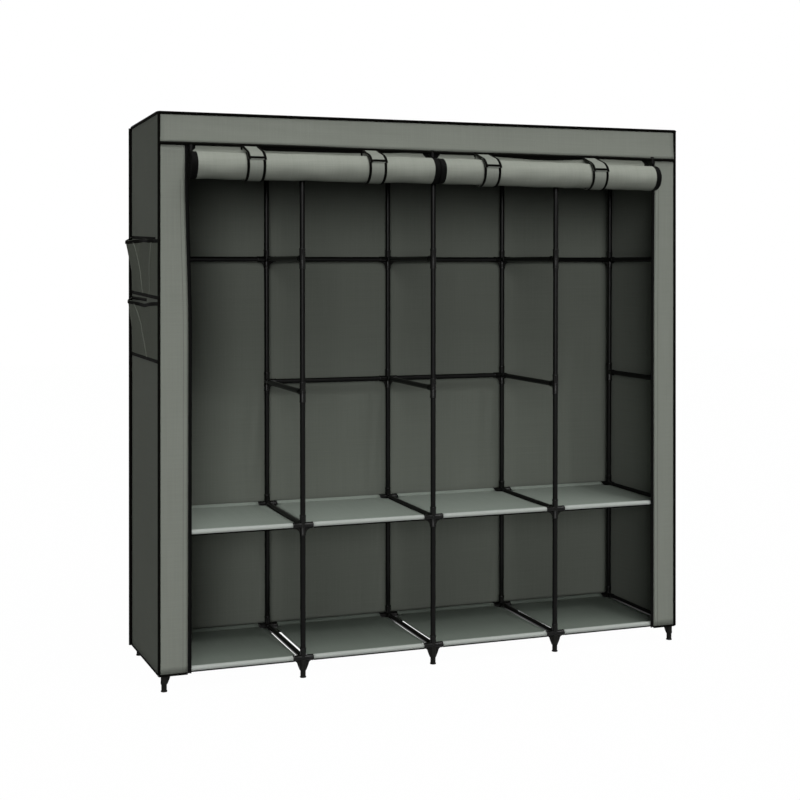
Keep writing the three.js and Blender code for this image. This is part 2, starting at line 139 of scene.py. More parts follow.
floor_half = 14
floor_mesh = bpy.data.meshes.new("studio_floor")
floor_mesh.from_pydata([(-floor_half, -floor_half, 0), (floor_half, -floor_half, 0),
                        (floor_half, floor_half, 0), (-floor_half, floor_half, 0)], [], [(0, 1, 2, 3)])
floor_paint, tree = new_material("matt_white_floor")
floor_matt = add_node(tree, "ShaderNodeBsdfDiffuse", {"Color": linear("#505050")})
floor_glow = add_node(tree, "ShaderNodeEmission", {"Color": white, "Strength": 1.10})
glow_share = add_node(tree, "ShaderNodeMath", {0: seen_directly(tree), 1: 0.9}, operation="MULTIPLY")
floor_mix = add_node(tree, "ShaderNodeMixShader",
                     {0: glow_share.outputs[0], 1: floor_matt.outputs[0], 2: floor_glow.outputs[0]})
add_node(tree, "ShaderNodeOutputMaterial", {"Surface": floor_mix.outputs[0]})
floor_mesh.materials.append(floor_paint)
link_object("studio_floor", floor_mesh)

scene.view_settings.view_transform = "Standard"
lamps = {"high_lamp": (2.27, 46, 63, 16), "low_lamp": (1.53, 24, 8, -19), "small_lamp": (0.30, 2, 52, 8)}
for name, (strength, spread, height, turn) in lamps.items():
    lamp_data = bpy.data.lights.new(name, "SUN")
    lamp_data.energy = strength
    lamp_data.angle = math.radians(spread)
    lamp = link_object(name, lamp_data)
    lamp.rotation_euler = (math.radians(90 - height), 0, math.radians(turn))


# Places that the frame gives: the posts' columns and rows, and the levels of their connectors.
# Every tube is 16 mm across, and sits 20 mm deep in a moulded socket.
def middle_of(node):
    """The middle of a CAD node's box."""
    low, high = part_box(node)
    return (low + high) / 2


bay_count = 4
storey_count = 4
tube_width = 0.016
plug_start = 0.011
front_row = middle_of("top_front_rod_1").y
rear_row = middle_of("top_rear_rod_1").y
rod_middles = [middle_of(f"top_rear_rod_{k + 1}").x for k in range(bay_count)]
bay_pitch = rod_middles[1] - rod_middles[0]
columns = [rod_middles[0] + (k - 0.5) * bay_pitch for k in range(bay_count + 1)]
top_level = middle_of("top_rear_rod_1").z
storey_pitch = top_level - middle_of("upper_rear_rod_1").z
levels = [top_level - (storey_count - k) * storey_pitch for k in range(storey_count + 1)]
hanging_row = middle_of("hanging_rod_1").y
every_bay = (0, 1, 2, 3)
front_rods = {0: every_bay, 1: every_bay, 4: every_bay}
rear_rods = {0: every_bay, 1: every_bay, 2: (1, 2), 3: every_bay, 4: every_bay}


# Steel tubes: thin-walled steel, cut to length and dipped in glossy black paint, which has a
# slight orange-peel surface and is a little duller in soft spots.
def group_sockets(tree, wanted):
    """Makes a node group's inputs, with its geometry first, and gives its ends."""
    tree.interface.new_socket("Geometry", in_out="INPUT", socket_type="NodeSocketGeometry")
    for name, kind in wanted.items():
        tree.interface.new_socket(name, in_out="INPUT", socket_type="NodeSocket" + kind)
    tree.interface.new_socket("Geometry", in_out="OUTPUT", socket_type="NodeSocketGeometry")
    return add_node(tree, "NodeGroupInput").outputs


def grow(name, tree, seed, sizes):
    """Runs a geometry tree on a seed mesh with these sizes, and keeps the result as a plain mesh."""
    source = link_object(name + "_seed", seed)
    modifier = source.modifiers.new(tree.name, "NODES")
    modifier.node_group = tree
    for item in tree.interface.items_tree:
        if item.item_type == "SOCKET" and item.in_out == "INPUT" and item.name in sizes:
            modifier[item.identifier] = sizes[item.name]
    bpy.context.view_layer.update()
    graph = bpy.context.evaluated_depsgraph_get()
    mesh = bpy.data.meshes.new_from_object(source.evaluated_get(graph))
    bpy.data.objects.remove(source)
    mesh.name = name
    mesh.set_sharp_from_angle(angle=math.radians(40))
    return link_object(name, mesh)


bands = bpy.data.node_groups.new("bands_along_lines", "GeometryNodeTree")
ends = group_sockets(bands, {"Width": "Float", "Thickness": "Float", "Sides": "Int", "Material": "Material"})
outward = add_node(bands, "GeometryNodeInputNamedAttribute", {"Name": "outward"}, data_type="FLOAT_VECTOR")
line = add_node(bands, "GeometryNodeMeshToCurve", {"Mesh": ends["Geometry"]})
line = add_node(bands, "GeometryNodeSetCurveNormal",
                {"Curve": line.outputs[0], "Normal": outward.outputs["Attribute"]}, mode="FREE")
ring = add_node(bands, "GeometryNodeCurvePrimitiveCircle", {"Resolution": ends["Sides"], "Radius": 0.5})
oval = add_node(bands, "ShaderNodeCombineXYZ", {"X": ends["Thickness"], "Y": ends["Width"], "Z": 1.0})
ring = add_node(bands, "GeometryNodeTransform", {"Geometry": ring.outputs[0], "Scale": oval.outputs[0]})
swept = add_node(bands, "GeometryNodeCurveToMesh",
                 {"Curve": line.outputs[0], "Profile Curve": ring.outputs[0], "Fill Caps": True})
swept = add_node(bands, "GeometryNodeSetMaterial",
                 {"Geometry": swept.outputs[0], "Material": ends["Material"]})
swept = add_node(bands, "GeometryNodeRealizeInstances", {"Geometry": swept.outputs[0]})
add_node(bands, "NodeGroupOutput", {"Geometry": swept.outputs[0]})


def lines_mesh(name, lines):
    """A seed mesh of open lines, each (its points, the direction it faces at each or at all)."""
    points, edges, outward = [], [], []
    for path, facing in lines:
        path = [tuple(p) for p in path]
        facing = list(facing) if hasattr(facing[0], "__len__") else [facing] * len(path)
        edges += [(len(points) + k, len(points) + k + 1) for k in range(len(path) - 1)]
        points += path
        outward += [tuple(f) for f in facing]
    mesh = bpy.data.meshes.new(name)
    mesh.from_pydata(points, edges, [])
    mesh.attributes.new("outward", "FLOAT_VECTOR", "POINT").data.foreach_set("vector", np.ravel(outward))
    return mesh


def band_piece(name, lines, width, thickness, material, sides=10):
    """One mesh of oval bands that follow lines."""
    sizes = {"Width": width, "Thickness": thickness, "Sides": sides, "Material": material}
    return grow(name, bands, lines_mesh(name, lines), sizes)


def spotted(name, colours, spots, roughness, specular, relief=None, strength=0.0, depth=0.0003,
            texture="ShaderNodeTexNoise", **settings):
    """A finish whose colour and roughness both run from a first to a second value in soft spots, with
    a fine relief, which is that of the spots where no other is given. A scale is 1 over the width of
    a spot or grain in metres, so 420 draws grains 2.4 mm wide."""
    material, tree = new_material(name)
    place = add_node(tree, "ShaderNodeTexCoord").outputs["Object"]
    share = add_node(tree, "ShaderNodeTexNoise", {"Vector": place, **spots}).outputs[0]
    height = add_node(tree, texture, {"Vector": place, **relief}, **settings).outputs[0] if relief else share
    bump = add_node(tree, "ShaderNodeBump", {"Height": height, "Strength": strength, "Distance": depth})
    tint = add_node(tree, "ShaderNodeMix", {0: share, 6: linear(colours[0]), 7: linear(colours[1])},
                    data_type="RGBA")
    dull = add_node(tree, "ShaderNodeMapRange",
                    {"Value": share, "To Min": roughness[0], "To Max": roughness[1]})
    shader = add_node(tree, "ShaderNodeBsdfPrincipled",
                      {"Base Color": tint.outputs[2], "Normal": bump.outputs[0],
                       "Roughness": dull.outputs[0], "Specular IOR Level": specular})
    add_node(tree, "ShaderNodeOutputMaterial", {"Surface": shader.outputs[0]})
    return material


# The paint mirrors the lamps as thin lines of light, which its orange-peel surface breaks a little.
black_paint = spotted("glossy_black_paint_on_steel", ("#0B0B0B", "#131312"), {"Scale": 22.0, "Detail": 4.0},
                      (0.14, 0.20), 0.06, {"Scale": 420.0, "Detail": 2.0}, 0.12, 0.0004)
tube_lines = []
sideways, upwards = (1, 0, 0), (0, 0, 1)
for x in columns:
    for y in (front_row, rear_row):
        for low, high in zip(levels, levels[1:]):
            tube_lines.append(([(x, y, low + plug_start), (x, y, high - plug_start)], sideways))
    for z in levels:
        tube_lines.append(([(x, front_row + plug_start, z), (x, rear_row - plug_start, z)], sideways))
for rods, y in ((front_rods, front_row), (rear_rods, rear_row), ({4: every_bay}, hanging_row)):
    for level, bays in rods.items():
        for bay in bays:
            start, end = columns[bay] + plug_start, columns[bay + 1] - plug_start
            tube_lines.append(([(start, y, levels[level]), (end, y, levels[level])], upwards))
tubes = band_piece("steel_tubes", tube_lines, tube_width, tube_width, black_paint, 28)
rod_nodes = [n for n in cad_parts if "_rod_" in n]
post_nodes = [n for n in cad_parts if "_post_" in n]
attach(tubes, "wardrobe")
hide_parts(*rod_nodes, *post_nodes)


# Connectors: moulded in black polypropylene, one at every crossing. Each socket is a sleeve with
# a rounded lip, and curved webs brace it from below; the lowest ones end in a foot.
def lathe(profile, sides=20):
    """A closed solid of revolution about Z from (radius, height) pairs, whose ends are on the axis."""
    made = bmesh.new()
    rings = []
    for radius, height in profile:
        if radius == 0:
            rings.append([made.verts.new((0, 0, height))])
            continue
        turns = [2 * math.pi * k / sides for k in range(sides)]
        rings.append([made.verts.new((radius * math.cos(a), radius * math.sin(a), height)) for a in turns])
    for low, high in zip(rings, rings[1:]):
        for k in range(sides):
            n = (k + 1) % sides
            corners = [low[k % len(low)], low[n % len(low)], high[n % len(high)], high[k % len(high)]]
            made.faces.new(list(dict.fromkeys(corners)))
    bmesh.ops.recalc_face_normals(made, faces=made.faces)
    return made


def slab(outline, thickness, rounding):
    """A flat shape in the XZ plane, thickened both ways along Y, with softened edges."""
    made = bmesh.new()
    face = made.faces.new([made.verts.new((x, -thickness / 2, z)) for x, z in outline])
    grown = bmesh.ops.extrude_face_region(made, geom=[face])
    moved = [v for v in grown["geom"] if isinstance(v, bmesh.types.BMVert)]
    bmesh.ops.translate(made, verts=moved, vec=(0, thickness, 0))
    bmesh.ops.recalc_face_normals(made, faces=made.faces)
    bmesh.ops.bevel(made, geom=made.edges[:], offset=rounding, segments=2, affect="EDGES", clamp_overlap=True)
    return made


def end_with_copies(tree, ends, points, turns):
    """Ends a geometry tree with copies of its piece at these points, as real mesh in its material."""
    piece = add_node(tree, "GeometryNodeObjectInfo", {"Object": ends["Piece"]})
    placed = add_node(tree, "GeometryNodeInstanceOnPoints",
                      {"Points": points, "Instance": piece.outputs["Geometry"], "Rotation": turns})
    placed = add_node(tree, "GeometryNodeRealizeInstances", {"Geometry": placed.outputs[0]})
    placed = add_node(tree, "GeometryNodeSetMaterial",
                      {"Geometry": placed.outputs[0], "Material": ends["Material"]})
    add_node(tree, "NodeGroupOutput", {"Geometry": placed.outputs[0]})


def grow_copies(name, prototype, tree, seed, sizes):
    """One mesh of smooth copies of a prototype, which a geometry tree sets out on a seed mesh."""
    mesh = bpy.data.meshes.new(name + "_pattern")
    prototype.to_mesh(mesh)
    prototype.free()
    mesh.polygons.foreach_set("use_smooth", [True] * len(mesh.polygons))
    pattern = link_object(name + "_pattern", mesh)
    made = grow(name, tree, seed, {"Piece": pattern, **sizes})
    bpy.data.objects.remove(pattern)
    return made


copies = bpy.data.node_groups.new("copies_at_places", "GeometryNodeTree")
ends = group_sockets(copies, {"Piece": "Object", "Material": "Material"})
turned = add_node(copies, "GeometryNodeInputNamedAttribute", {"Name": "turned"}, data_type="QUATERNION")
end_with_copies(copies, ends, ends["Geometry"], turned.outputs["Attribute"])


def copies_piece(name, prototype, places, material):
    """One mesh of copies of a prototype, each at (its place, its turn as a quaternion)."""
    seed = bpy.data.meshes.new(name)
    seed.from_pydata([tuple(p) for p, _ in places], [], [])
    turns = np.ravel([tuple(q) for _, q in places])
    seed.attributes.new("turned", "QUATERNION", "POINT").data.foreach_set("value", turns)
    return grow_copies(name, prototype, copies, seed, {"Material": material})


def joined(name, parts):
    """Several plain mesh objects as one."""
    whole = bmesh.new()
    materials = []
    for part in parts:
        start = len(whole.faces)
        for material in part.data.materials:
            if material not in materials:
                materials.append(material)
        numbers = [materials.index(m) for m in part.data.materials] or [0]
        whole.from_mesh(part.data)
        whole.faces.ensure_lookup_table()
        for face in whole.faces[start:]:
            face.material_index = numbers[face.material_index]
    mesh = bpy.data.meshes.new(name)
    whole.to_mesh(mesh)
    whole.free()
    for material in materials:
        mesh.materials.append(material)
    for part in parts:
        bpy.data.objects.remove(part)
    return link_object(name, mesh)


# The sleeves keep a soft sheen from the mould, and the webs and feet are textured, so they look dull.
moulded_black = spotted("moulded_black_polypropylene", ("#060605", "#0E0E0D"), {"Scale": 35.0, "Detail": 3.0},
                        (0.22, 0.32), 0.12, {"Scale": 900.0, "Detail": 3.0}, 0.2)
matt_black = spotted("matt_black_moulded_webs_and_feet", ("#0E0E0D", "#222220"),
                     {"Scale": 120.0, "Detail": 5.0}, (0.5, 0.65), 0.05,
                     {"Scale": 1100.0, "Detail": 2.0}, 0.3)
web_curve = [(0.0270 - 0.0178 * math.sin(t), -0.0292 + 0.0198 * math.cos(t))
             for t in np.linspace(0, math.pi / 2, 7)]
mouldings = {
    "sleeves": (lathe([(0, -0.002), (0.0088, -0.002), (0.0091, 0.003), (0.0092, 0.026), (0.0097, 0.0272),
                       (0.0098, 0.0296), (0.0095, 0.0308), (0.0088, 0.0310), (0.0083, 0.0304),
                       (0, 0.0290)]), moulded_black),
    "webs": (slab([(0.005, -0.006), (0.0275, -0.0075), *web_curve, (0.005, -0.0302)], 0.0042, 0.0008),
             matt_black),
    "foot_webs": (slab([(0.004, -0.006), (0.0270, -0.0070), (0.0238, -0.0100), (0.0190, -0.0125),
                        (0.0165, -0.0210), (0.0128, -0.0300), (0.0098, -0.0372), (0.004, -0.0372)],
                       0.0058, 0.0010), matt_black),
    "legs": (lathe([(0, 0), (0.0090, 0), (0.0095, 0.0006), (0.0095, 0.0030), (0.0080, 0.0038),
                    (0.0082, 0.0205), (0.0096, 0.0225), (0.0102, 0.0260), (0.0096, 0.0320),
                    (0.0096, 0.0560), (0, 0.0590)]), matt_black),
    "caps": (lathe([(0, 0.0), (0.0099, 0.0), (0.0097, 0.0080), (0.0080, 0.0104), (0.0040, 0.0114),
                    (0, 0.0115)]), moulded_black),
    "hubs": (lathe([(0, -0.0096), (0.0056, -0.0090), (0.0087, -0.0056), (0.0096, 0.0), (0.0087, 0.0056),
                    (0.0056, 0.0090), (0, 0.0096)]), moulded_black),
    "tee_sleeves": (lathe([(0, -0.015), (0.0092, -0.015), (0.0100, -0.0140), (0.0100, 0.0140),
                           (0.0092, 0.015), (0, 0.015)]), moulded_black),
}
places = {name: [] for name in mouldings}
upright, upside_down = Quaternion(), Quaternion((1, 0, 0), math.pi)
for y, rods, inward in ((front_row, front_rods, 1), (rear_row, rear_rods, -1)):
    for column, x in enumerate(columns):
        for level, z in enumerate(levels):
            arms = [Vector((0, inward, 0))]
            bays = rods.get(level, ())
            arms += [Vector((s, 0, 0)) for s, bay in ((1, column), (-1, column - 1)) if bay in bays]
            at = Vector((x, y, z))
            places["hubs"].append((at, upright))
            for arm in arms:
                places["sleeves"].append((at, Vector(upwards).rotation_difference(arm)))
                brace = Quaternion(upwards, math.atan2(arm.y, arm.x))
                places["webs" if level else "foot_webs"].append((at, brace))
            places["sleeves" if level < storey_count else "caps"].append((at, upright))
            if level:
                places["sleeves"].append((at, upside_down))
            else:
                places["legs"].append((Vector((x, y, 0)), upright))
for column, x in enumerate(columns):
    at = Vector((x, hanging_row, top_level))
    for s, bay in ((1, column), (-1, column - 1)):
        if bay in every_bay:
            places["sleeves"].append((at, Vector(upwards).rotation_difference(Vector((s, 0, 0)))))
    places["tee_sleeves"].append((at, Quaternion((1, 0, 0), math.pi / 2)))
connectors = joined("moulded_connectors", [copies_piece(name, shape, places[name], material)
                                           for name, (shape, material) in mouldings.items()])
connectors.data.set_sharp_from_angle(angle=math.radians(40))
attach(connectors, "wardrobe")
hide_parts(*post_nodes)


# Cover: woven polyester cloth, dyed grey, cut in seven panels and sewn into a box that is pulled
# over the frame. Its inner side is dull and drawn darker, as painted shade, and it hangs with long,
# very shallow waves.
drawn_spacing = 0.003


def woven_cloth(name, light, dark, along_map=True, roughness=0.85):
    """Plain-woven cloth: two sets of threads that pass over and under each other, with thick and
    thin stretches of thread and soft patches. Real threads lie about 0.6 mm apart, which is too
    fine for the picture, so they are drawn 3 mm apart."""
    material, tree = new_material(name)
    if along_map:
        place = add_node(tree, "ShaderNodeUVMap", uv_map="weave").outputs[0]
    else:
        place = add_node(tree, "ShaderNodeTexCoord").outputs["Object"]
    turns = add_node(tree, "ShaderNodeVectorMath", {0: place, "Scale": math.pi / drawn_spacing},
                     operation="SCALE")
    crests = add_node(tree, "ShaderNodeVectorMath", {0: turns.outputs[0]}, operation="SINE")
    split = add_node(tree, "ShaderNodeSeparateXYZ", {0: crests.outputs[0]}).outputs
    threads = (split[0], split[1 if along_map else 2])
    crossing = add_node(tree, "ShaderNodeMath", dict(enumerate(threads)), operation="MULTIPLY")
    over = add_node(tree, "ShaderNodeMath", {0: crossing.outputs[0], 1: 0.0}, operation="GREATER_THAN")
    warp, weft = (add_node(tree, "ShaderNodeMath", {0: thread}, operation="ABSOLUTE").outputs[0]
                  for thread in threads)
    height = add_node(tree, "ShaderNodeMix", {0: over.outputs[0], 2: warp, 3: weft}).outputs[0]
    streaks = {}
    for number, stretch in enumerate(((900.0, 14.0, 900.0), (14.0, 900.0, 14.0))):
        scaled = add_node(tree, "ShaderNodeVectorMath", {0: place, 1: stretch}, operation="MULTIPLY")
        streaks[number] = add_node(tree, "ShaderNodeTexNoise", {"Vector": scaled.outputs[0], "Scale": 0.35,
                                                                "Detail": 1.0}).outputs[0]
    slubs = add_node(tree, "ShaderNodeMath", streaks, operation="ADD").outputs[0]
    patches = add_node(tree, "ShaderNodeTexNoise", {"Vector": place, "Scale": 4.0, "Detail": 3.0}).outputs[0]
    shade = 0.0
    for pattern, share in ((slubs, 0.42), (patches, 0.35), (height, 0.22)):
        shade = add_node(tree, "ShaderNodeMath", {0: pattern, 1: share, 2: shade},
                         operation="MULTIPLY_ADD").outputs[0]
    tint = add_node(tree, "ShaderNodeMix", {0: shade, 6: linear(dark), 7: linear(light)}, data_type="RGBA")
    relief = add_node(tree, "ShaderNodeMath", {0: slubs, 1: 0.8, 2: height}, operation="MULTIPLY_ADD")
    bump = add_node(tree, "ShaderNodeBump",
                    {"Height": relief.outputs[0], "Strength": 0.5, "Distance": 0.0004})
    shader = add_node(tree, "ShaderNodeBsdfPrincipled",
                      {"Base Color": tint.outputs[2], "Normal": bump.outputs[0], "Roughness": roughness,
                       "Specular IOR Level": 0.06})
    add_node(tree, "ShaderNodeOutputMaterial", {"Surface": shader.outputs[0]})
    return material


def cloth_grid(name, place, cuts, row_count, size, materials, pick=None):
    """A cloth as a grid of place(across, along), which run 0 to 1, with its weave map in metres. Its
    columns are a count of equal ones, or the shares at which they start and end."""
    cuts = np.linspace(0, 1, cuts + 1) if isinstance(cuts, int) else np.array(cuts)
    column_count = len(cuts) - 1
    across, along = np.meshgrid(cuts, np.linspace(0, 1, row_count + 1))
    points = np.stack(np.broadcast_arrays(*place(across, along)), axis=-1).reshape(-1, 3)
    first = (np.arange(row_count)[:, None] * (column_count + 1) + np.arange(column_count)).ravel()
    faces = np.stack([first, first + 1, first + column_count + 2, first + column_count + 1], axis=1)
    mesh = bpy.data.meshes.new(name)
    mesh.from_pydata(points.tolist(), [], faces.tolist())
    flat = np.stack([across.ravel() * size[0], along.ravel() * size[1]], axis=1)
    mesh.uv_layers.new(name="weave").data.foreach_set("uv", flat[faces.ravel()].ravel().astype(np.float32))
    for material in materials:
        mesh.materials.append(material)
    if pick is not None:
        row, column = np.divmod(np.arange(len(faces)), column_count)
        chosen = pick((cuts[column] + cuts[column + 1]) / 2, (row + 0.5) / row_count)
        mesh.polygons.foreach_set("material_index", chosen.astype(np.int32))
    mesh.polygons.foreach_set("use_smooth", [True] * len(mesh.polygons))
    return link_object(name, mesh)


def with_thickness(cloth, thickness, inner_number=0):
    """Gives a cloth its thickness, inwards from its outer side, and keeps the result as a plain mesh."""
    solidify = cloth.modifiers.new("cloth thickness", "SOLIDIFY")
    solidify.thickness = thickness
    solidify.offset = -1
    solidify.material_offset = inner_number
    bpy.context.view_layer.update()
    graph = bpy.context.evaluated_depsgraph_get()
    mesh = bpy.data.meshes.new_from_object(cloth.evaluated_get(graph))
    cloth.modifiers.clear()
    cloth.data = mesh
    mesh.name = cloth.name
    return cloth


def waves(across, along, seed, size):
    """Shallow waves in a cloth, which die out at its seams."""
    random = np.random.default_rng(seed)
    wave_count = 7
    total = np.zeros(np.shape(across))
    for _ in range(wave_count):
        fast, slow = random.uniform(1.5, 6.5), random.uniform(0.4, 2.2)
        bend, start = random.uniform(-1.0, 1.0), random.uniform(0, 2 * math.pi)
        turns = fast * across + slow * along + bend * across * along
        total = total + np.cos(2 * math.pi * turns + start) / wave_count
    edge = np.clip(12 * across, 0, 1) * np.clip(12 * (1 - across), 0, 1)
    edge = edge * np.clip(20 * along, 0, 1) * np.clip(20 * (1 - along), 0, 1)
    return size * total * edge


header_fall = 0.0085
header_fall_start = 0.13


def panel_place(corners, seed, size, stand_off=0.0, fall=0.0):
    """Where a flat panel's points lie, between four corners seen from outside: lower left, lower
    right, upper right, upper left. Its lower edge may stand off a little, and fall to the right."""
    corner = [np.array(c, float) for c in corners]
    outwards = np.cross(corner[1] - corner[0], corner[3] - corner[0])
    outwards = outwards / np.linalg.norm(outwards)

    def place(across, along):
        a, b = across[..., None], along[..., None]
        flat = (1 - b) * ((1 - a) * corner[0] + a * corner[1]) + b * ((1 - a) * corner[3] + a * corner[2])
        moved = flat + outwards * (waves(across, along, seed, size) + stand_off * (1 - along) ** 2)[..., None]
        drop = fall * np.clip(across - header_fall_start, 0, 1) * (1 - along)
        return moved[..., 0], moved[..., 1], moved[..., 2] - drop

    return place


# The sides' cloth is a darker copy of the front's, as painted shade. The linings are the dullest, and
# are darker than the front's cloth, as painted shade of the inside.
cover_cloth = woven_cloth("woven_grey_polyester", "#81857D", "#6E726A")
side_cloth = woven_cloth("woven_grey_polyester_of_the_sides", "#747870", "#63675E")
cover_lining = woven_cloth("dull_coated_inner_side", "#656962", "#545851", roughness=0.9)
side_lining = woven_cloth("dull_coated_inner_side_of_the_sides", "#747871", "#61655E", roughness=0.9)
cloth_thickness = 0.0015
strip_low, strip_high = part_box("cover_strip_left")
back_low, back_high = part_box("cover_back")
roof_low, roof_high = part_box("cover_top")
front_y, rear_y = strip_low.y, back_high.y
left_x, right_x = strip_low.x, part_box("cover_strip_right")[1].x
binding_reach = 0.005
flare = left_x - back_low.x - 2 * binding_reach
rear_left_x, rear_right_x = left_x - flare, right_x + flare
# Where the cover's upright edges run, at the hem and at the top: they hang straight down in the
# photograph, a few millimetres off the frame's box.
upright_edges = {("front", -1): (left_x - 0.0017, left_x + 0.0043),
                 ("front", 1): (right_x - 0.0034, right_x - 0.0115),
                 ("rear", -1): (rear_left_x - 0.0049, rear_left_x + 0.0016),
                 ("rear", 1): (rear_right_x + 0.0010, rear_right_x - 0.0100)}
front_hem, rear_hem = strip_low.z, back_low.z
front_top, rear_top = roof_high.z - 0.003, roof_low.z + cloth_thickness
header_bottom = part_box("cover_header")[0].z


def edge_point(row, side, z):
    """A point on an upright edge of the cover, at this height."""
    low, high = upright_edges[row, side]
    share = (z - front_hem) / (front_top - front_hem)
    return low + (high - low) * share, front_y if row == "front" else rear_y, z


def both_edges(row, z):
    """The points on the left and the right upright edge, at this height."""
    return [edge_point(row, side, z) for side in (-1, 1)]


def clear_of_posts(x, y, front_ramp=0.0115, rear_ramp=0.020, reach=0.0132):
    """This x, moved out where the cloth runs over the frame's outer posts."""
    rise = np.clip((y - front_y) / front_ramp, 0, 1) * np.clip((rear_y - y) / rear_ramp, 0, 1)
    for side, column in ((-1, columns[0]), (1, columns[-1])):
        beyond = side * (x - column)
        x = x + side * rise * np.where(beyond > 0, np.clip(reach - beyond, 0, 1), 0)
    return x


def over_frame(place):
    """The same place, kept clear of the frame's outer posts."""
    def pushed(across, along):
        x, y, z = place(across, along)
        return clear_of_posts(x, y), y, z

    return pushed


low_front, low_rear = both_edges("front", front_hem), both_edges("rear", rear_hem)
high_front, high_rear = both_edges("front", front_top), both_edges("rear", rear_top)
header_ends = both_edges("front", header_bottom)
depth_shares = np.concatenate([[0, 0.0125, 0.025], np.linspace(0.05, 0.93, 22), [0.956, 0.980, 1]])
# Each panel's corners, columns and rows, and the height of its waves.
panels = {
    "cover_back": ([low_rear[1], low_rear[0], high_rear[0], high_rear[1]], 60, 56, 0.0020),
    "cover_side_left": ([low_rear[0], low_front[0], high_front[0], high_rear[0]],
                        1 - depth_shares[::-1], 60, 0.0016),
    "cover_side_right": ([low_front[1], low_rear[1], high_rear[1], high_front[1]], depth_shares, 60, 0.0016),
    "cover_top": ([high_front[0], high_front[1], high_rear[1], high_rear[0]], 60, 50, 0.0016),
    "cover_header": ([header_ends[0], header_ends[1], high_front[1], high_front[0]], 72, 8, 0.0009),
}
cover_pieces = {}
for number, (node, (corners, cuts, row_count, wave_height)) in enumerate(panels.items()):
    low_left, low_right, _, high_left = (Vector(c) for c in corners)
    size = ((low_right - low_left).length, (high_left - low_left).length)
    extra = (0.003, header_fall) if node == "cover_header" else (0.0, 0.0)
    place = over_frame(panel_place(corners, 11 + number, wave_height, *extra))
    cloths = [side_cloth, side_lining] if "side" in node else [cover_cloth, cover_lining]
    cloth = cloth_grid(node + "_cloth", place, cuts, row_count, size, cloths)
    cover_pieces[node] = (with_thickness(cloth, cloth_thickness, 1), size)

# The two front strips are narrow, and the pull of the zip drags each one's inner edge outwards
# near the top. Their inner edges carry the zip tape.
strip_width = strip_high.x - strip_low.x
inner_edges = {-1: (left_x + strip_width - 0.0082, left_x + strip_width - 0.0025),
               1: (right_x - strip_width + 0.0090, right_x - strip_width + 0.0050)}
drawn_out = {-1: -0.0085, 1: 0.0010}


def strip_place(side):
    """The left or right front strip, with its inner edge drawn outwards near the top."""
    def place(across, along):
        z = front_hem + along * (strip_high.z - front_hem)
        pull = np.clip((z - 1.0) / 0.5, 0, 1)
        pull = pull ** 2 * (3 - 2 * pull)
        inner_low, inner_high = inner_edges[side]
        x_inner = inner_low + (inner_high - inner_low) * np.clip(along / 0.7, 0, 1) + drawn_out[side] * pull
        x_outer = edge_point("front", side, z)[0]
        ripple = waves(across, along, 31 + side, 0.0008)
        x_from, x_to = (x_outer, x_inner) if side < 0 else (x_inner, x_outer)
        return x_from + across * (x_to - x_from), front_y - np.abs(ripple), z

    return place


for side, node in ((-1, "cover_strip_left"), (1, "cover_strip_right")):
    size = (strip_width, strip_high.z - front_hem)
    cloth = cloth_grid(node + "_cloth", strip_place(side), 8, 64, size, [cover_cloth, cover_lining])
    cover_pieces[node] = (with_thickness(cloth, cloth_thickness, 1), size)

# Binding: black woven tape folded over every seam of the cover and sewn down. It stands out as a
# bead at the box's edges, and as a flat band along the header's lower hem and the other hems. Its
# fine slanting ribs leave it almost without a shine.
black_tape = spotted("black_woven_binding_tape", ("#050504", "#0D0D0B"), {"Scale": 500.0, "Detail": 2.0},
                     (0.85, 0.85), 0.02, {"Scale": 260.0, "Distortion": 1.5, "Detail": 1.0}, 0.35, 0.0004,
                     texture="ShaderNodeTexWave", bands_direction="DIAGONAL")
forwards = (0, -1, 0)
corner_lines = []
for k, side in enumerate((-1, 1)):
    outer = [(x + side * binding_reach, y, z) for x, y, z in (low_rear[k], high_rear[k])]
    corner_lines += [([low_front[k], high_front[k]], (0.7 * side, -0.7, 0)), (outer, (side, 0.1, 0))]
    top_x, top_y, top_z = np.linspace(high_front[k], high_rear[k], 52).T
    top_edge = np.stack([clear_of_posts(top_x, top_y), top_y, top_z], axis=1)
    corner_lines.append((top_edge, (0.7 * side, 0, 0.7)))
corner_lines += [(high_front, (0, -0.7, 0.7)), (high_rear, (0, 0.7, 0.7))]
hem_lines = [([low_front[k], low_rear[k]], (side, 0, 0)) for k, side in enumerate((-1, 1))]
hem_lines += [(low_rear, (0, 1, 0))]
hem_lines += [([low_front[k], (inner_edges[side][0], front_y, front_hem)], forwards)
              for k, side in enumerate((-1, 1))]
binding = joined("cover_binding", [band_piece("corner_beads", corner_lines, 0.0080, 0.0105, black_tape),
                                   band_piece("hem_bands", hem_lines, 0.0070, 0.0040, black_tape)])
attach(binding, "wardrobe")

# The header's hem falls to the right. Below it in two places runs a second black band, a dark strip
# that is painted shadow under the hem.
shares = np.linspace(0, 1, 140)
hem_start, hem_end = (point[0] for point in header_ends)
hem_x = hem_start + shares * (hem_end - hem_start)
hem_drop = header_fall * np.clip(shares - header_fall_start, 0, 1)
hem_z = header_bottom - 0.0020 - hem_drop + 0.0007 * np.sin(9.3 * shares) + 0.0004 * np.sin(31 * shares)
hem_shadow_z = hem_z - np.interp(shares, [0.165, 0.185, 0.27, 0.36, 0.45, 0.60, 0.66, 0.70, 0.74, 0.78, 0.84],
                            [0, 0.0090, 0.0090, 0.0055, 0, 0, 0.0060, 0.0088, 0.0085, 0.0050, 0])
hem_line = np.stack([hem_x, np.full(140, front_y - 0.0044), hem_z], axis=1)
hem_shadow_line = np.stack([hem_x, np.full(140, front_y - 0.0014), hem_shadow_z], axis=1)[4:-4]
header_hem = joined("header_hem_band", [
    band_piece("hem", [(hem_line, forwards)], 0.0092, 0.0052, black_tape),
    band_piece("under_hem", [(hem_shadow_line, forwards)], 0.0105, 0.0030, black_tape)])
